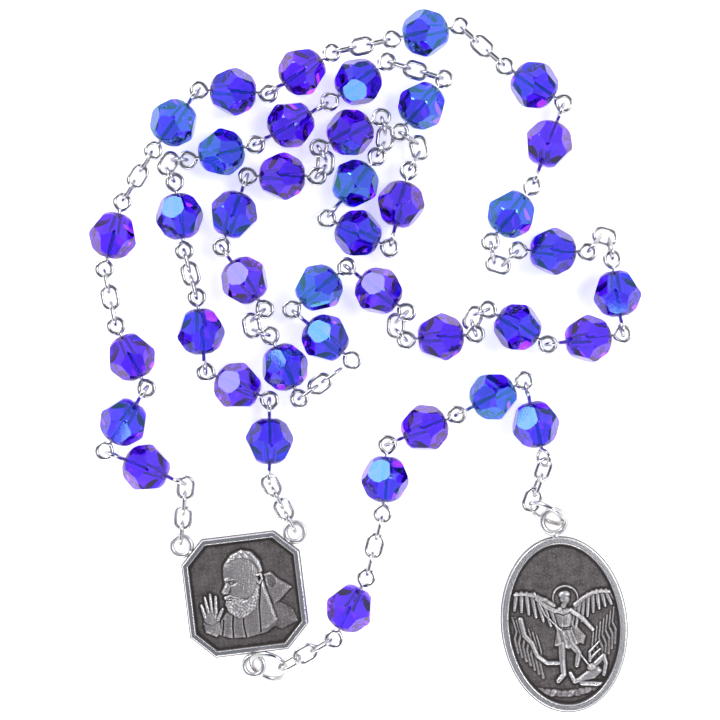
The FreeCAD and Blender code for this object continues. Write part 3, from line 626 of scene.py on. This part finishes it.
def place(verts, centre, turn):
    """Turns points about Z and moves them across, leaving their height."""
    verts = np.asarray(verts, float)
    c, s = math.cos(math.radians(turn)), math.sin(math.radians(turn))
    out = verts.copy()
    out[:, 0] = c * verts[:, 0] - s * verts[:, 1] + centre[0]
    out[:, 1] = s * verts[:, 0] + c * verts[:, 1] + centre[1]
    return out


def back_middle(node):
    """Middle of a medal's flat back, in millimetres."""
    points = points_of(node)
    back = points[points[:, 2] < points[:, 2].min() + 0.02]
    return (back.min(0) + back.max(0)) / 2


def bail_ring(local, radius, wire, height, centre, turn):
    rows = [(local[0] + radius * math.cos(a), local[1] + radius * math.sin(a), height)
            for a in np.linspace(0, 2 * math.pi, 48, endpoint=False)]
    verts, faces = tube(rows, wire, True, BAIL_SIDES)
    return place(verts, centre, turn), faces


def bail_lug(local, way, centre, turn):
    """The short stub that joins a bail to the plate."""
    c, s = math.cos(math.radians(way)), math.sin(math.radians(way))
    rows = [(local[0] + d * c, local[1] + d * s, CENTRE_BAIL_HEIGHT) for d in LUG_STEPS]
    verts, faces = tube(rows, LUG_WIRE, False, BAIL_SIDES)
    return place(verts, centre, turn), faces


# Each outline has its distance from the middle by angle, and how far inside it a point lies.

OCTAGON_SLOPE = (2 * OCTAGON_HALF - OCTAGON_CORNER) / math.sqrt(2)


def octagon_rim(angles):
    c, s = np.abs(np.cos(angles)), np.abs(np.sin(angles))
    side = np.maximum(c, s) / OCTAGON_HALF
    corner = (c + s) / math.sqrt(2) / OCTAGON_SLOPE
    return 1 / np.maximum(side, corner)


def octagon_gap(x, y):
    side = OCTAGON_HALF - np.maximum(np.abs(x), np.abs(y))
    return np.minimum(side, OCTAGON_SLOPE - (np.abs(x) + np.abs(y)) / math.sqrt(2))


def oval_rim(angles):
    return 1 / np.sqrt((np.cos(angles) / OVAL_X) ** 2 + (np.sin(angles) / OVAL_Y) ** 2)


def oval_gap(x, y):
    f = np.sqrt((x / OVAL_X) ** 2 + (y / OVAL_Y) ** 2) + 1e-6
    slope = np.sqrt((x / OVAL_X ** 2) ** 2 + (y / OVAL_Y ** 2) ** 2) / f + 1e-6
    return np.clip((1 - f) / slope, 0, 9)


def build_medal(node, plate, bails):
    verts, faces, wear = plate
    verts, faces, wear = list(verts), list(faces), list(wear)
    for more, more_faces in bails:
        base = len(verts)
        verts.extend(more)
        wear.extend([BAIL_WEAR] * len(more))
        faces.extend([tuple(i + base for i in f) for f in more_faces])
    obj = make(node + "_cast", verts, faces, CAST, True, wear)
    finish_piece(obj, node)


def centre_medal():
    centre, turn = back_middle("centre_medal"), CENTRE_TURN
    plate = medal_mesh(octagon_rim, octagon_gap, thick=2.6, rim=1.3, recess=0.7, relief=bust_relief,
                       centre=centre, turn=turn)
    rings = [bail_ring(at, 1.6, 0.45, CENTRE_BAIL_HEIGHT, centre, turn) for at, way in CENTRE_BAILS]
    lugs = [bail_lug(at, way, centre, turn) for at, way in CENTRE_BAILS]
    build_medal("centre_medal", plate, rings + lugs)


def end_medal():
    centre, turn = back_middle("end_medal"), END_TURN
    plate = medal_mesh(oval_rim, oval_gap, thick=2.2, rim=1.5, recess=0.6, relief=angel_relief,
                       centre=centre, turn=turn, rings=170, spokes=820)
    ring = bail_ring(END_BAIL, 1.95, 0.5, 1.5, centre, turn)
    neck, neck_faces = tube(NECK_PATH, NECK_WIRE, False, BAIL_SIDES)
    build_medal("end_medal", plate, [ring, (place(neck, centre, turn), neck_faces)])


centre_medal()
end_medal()


# ---- Floor, light and camera

def floor_mesh():
    half, below = 0.6 / MM, -0.02
    corners = [(x * half, y * half, below) for x, y in ((-1, -1), (1, -1), (1, 1), (-1, 1))]
    obj = make("floor", corners, [(0, 1, 2, 3)], FLOOR, False)


FLOOR, floor_tree, floor_bsdf = shader("pale_floor")
floor_bsdf.inputs["Base Color"].default_value = (0.96, 0.96, 0.97, 1)
floor_bsdf.inputs["Roughness"].default_value = 0.9
floor_bsdf.inputs["Specular IOR Level"].default_value = 0.0
floor_bsdf.inputs["Emission Color"].default_value = (1, 1, 1, 1)
floor_bsdf.inputs["Emission Strength"].default_value = 0.55
floor_mesh()

world = bpy.data.worlds.new("studio")
world.use_nodes = True
sky = world.node_tree
where = sky.nodes.new("ShaderNodeTexCoord")
split = sky.nodes.new("ShaderNodeSeparateXYZ")
sky.links.new(where.outputs["Generated"], split.inputs[0])
glow = ramp(sky, split.outputs["Z"], ((0.0, (1.0, 1.0, 1.0)), (0.45, (0.93, 0.96, 1.0)),
                                      (0.70, (0.20, 0.27, 0.42)), (0.93, (0.03, 0.035, 0.05))))
sky.links.new(glow.outputs["Color"], sky.nodes["Background"].inputs["Color"])
sky.nodes["Background"].inputs["Strength"].default_value = 1.25
bpy.context.scene.world = world


def softbox(name, place_at, aim, size, power, colour):
    data = bpy.data.lights.new(name, "AREA")
    data.shape = "RECTANGLE"
    data.size, data.size_y = size
    data.energy = power
    data.color = colour
    obj = bpy.data.objects.new(name, data)
    obj.location = place_at
    obj.rotation_euler = (Vector(aim) - Vector(place_at)).to_track_quat("-Z", "Y").to_euler()
    bpy.context.scene.collection.objects.link(obj)


softbox("key", (-0.62, 0.66, 0.70), (0, 0, 0), (0.60, 0.50), 7.5, (1.0, 0.995, 0.99))
softbox("side", (0.62, 0.10, 1.05), (0, 0, 0), (0.50, 0.50), 6.0, (0.97, 0.98, 1.0))
softbox("low", (-0.10, -0.98, 0.62), (0, 0, 0), (0.70, 0.30), 4.0, (1.0, 1.0, 1.0))

bpy.context.scene.view_settings.view_transform = "Standard"
# The camera looks straight down; its picture is this wide at the height of the middle of the beads.
VIEW_MM = 117.6
MID_HEIGHT = 0.004
lens = bpy.data.cameras.new("camera")
lens.sensor_width = 36
lens.lens = 100
camera = bpy.data.objects.new("camera", lens)
camera.location = (-0.0008, 0.0003, VIEW_MM * MM * lens.lens / lens.sensor_width + MID_HEIGHT)
bpy.context.scene.collection.objects.link(camera)
bpy.context.scene.camera = camera
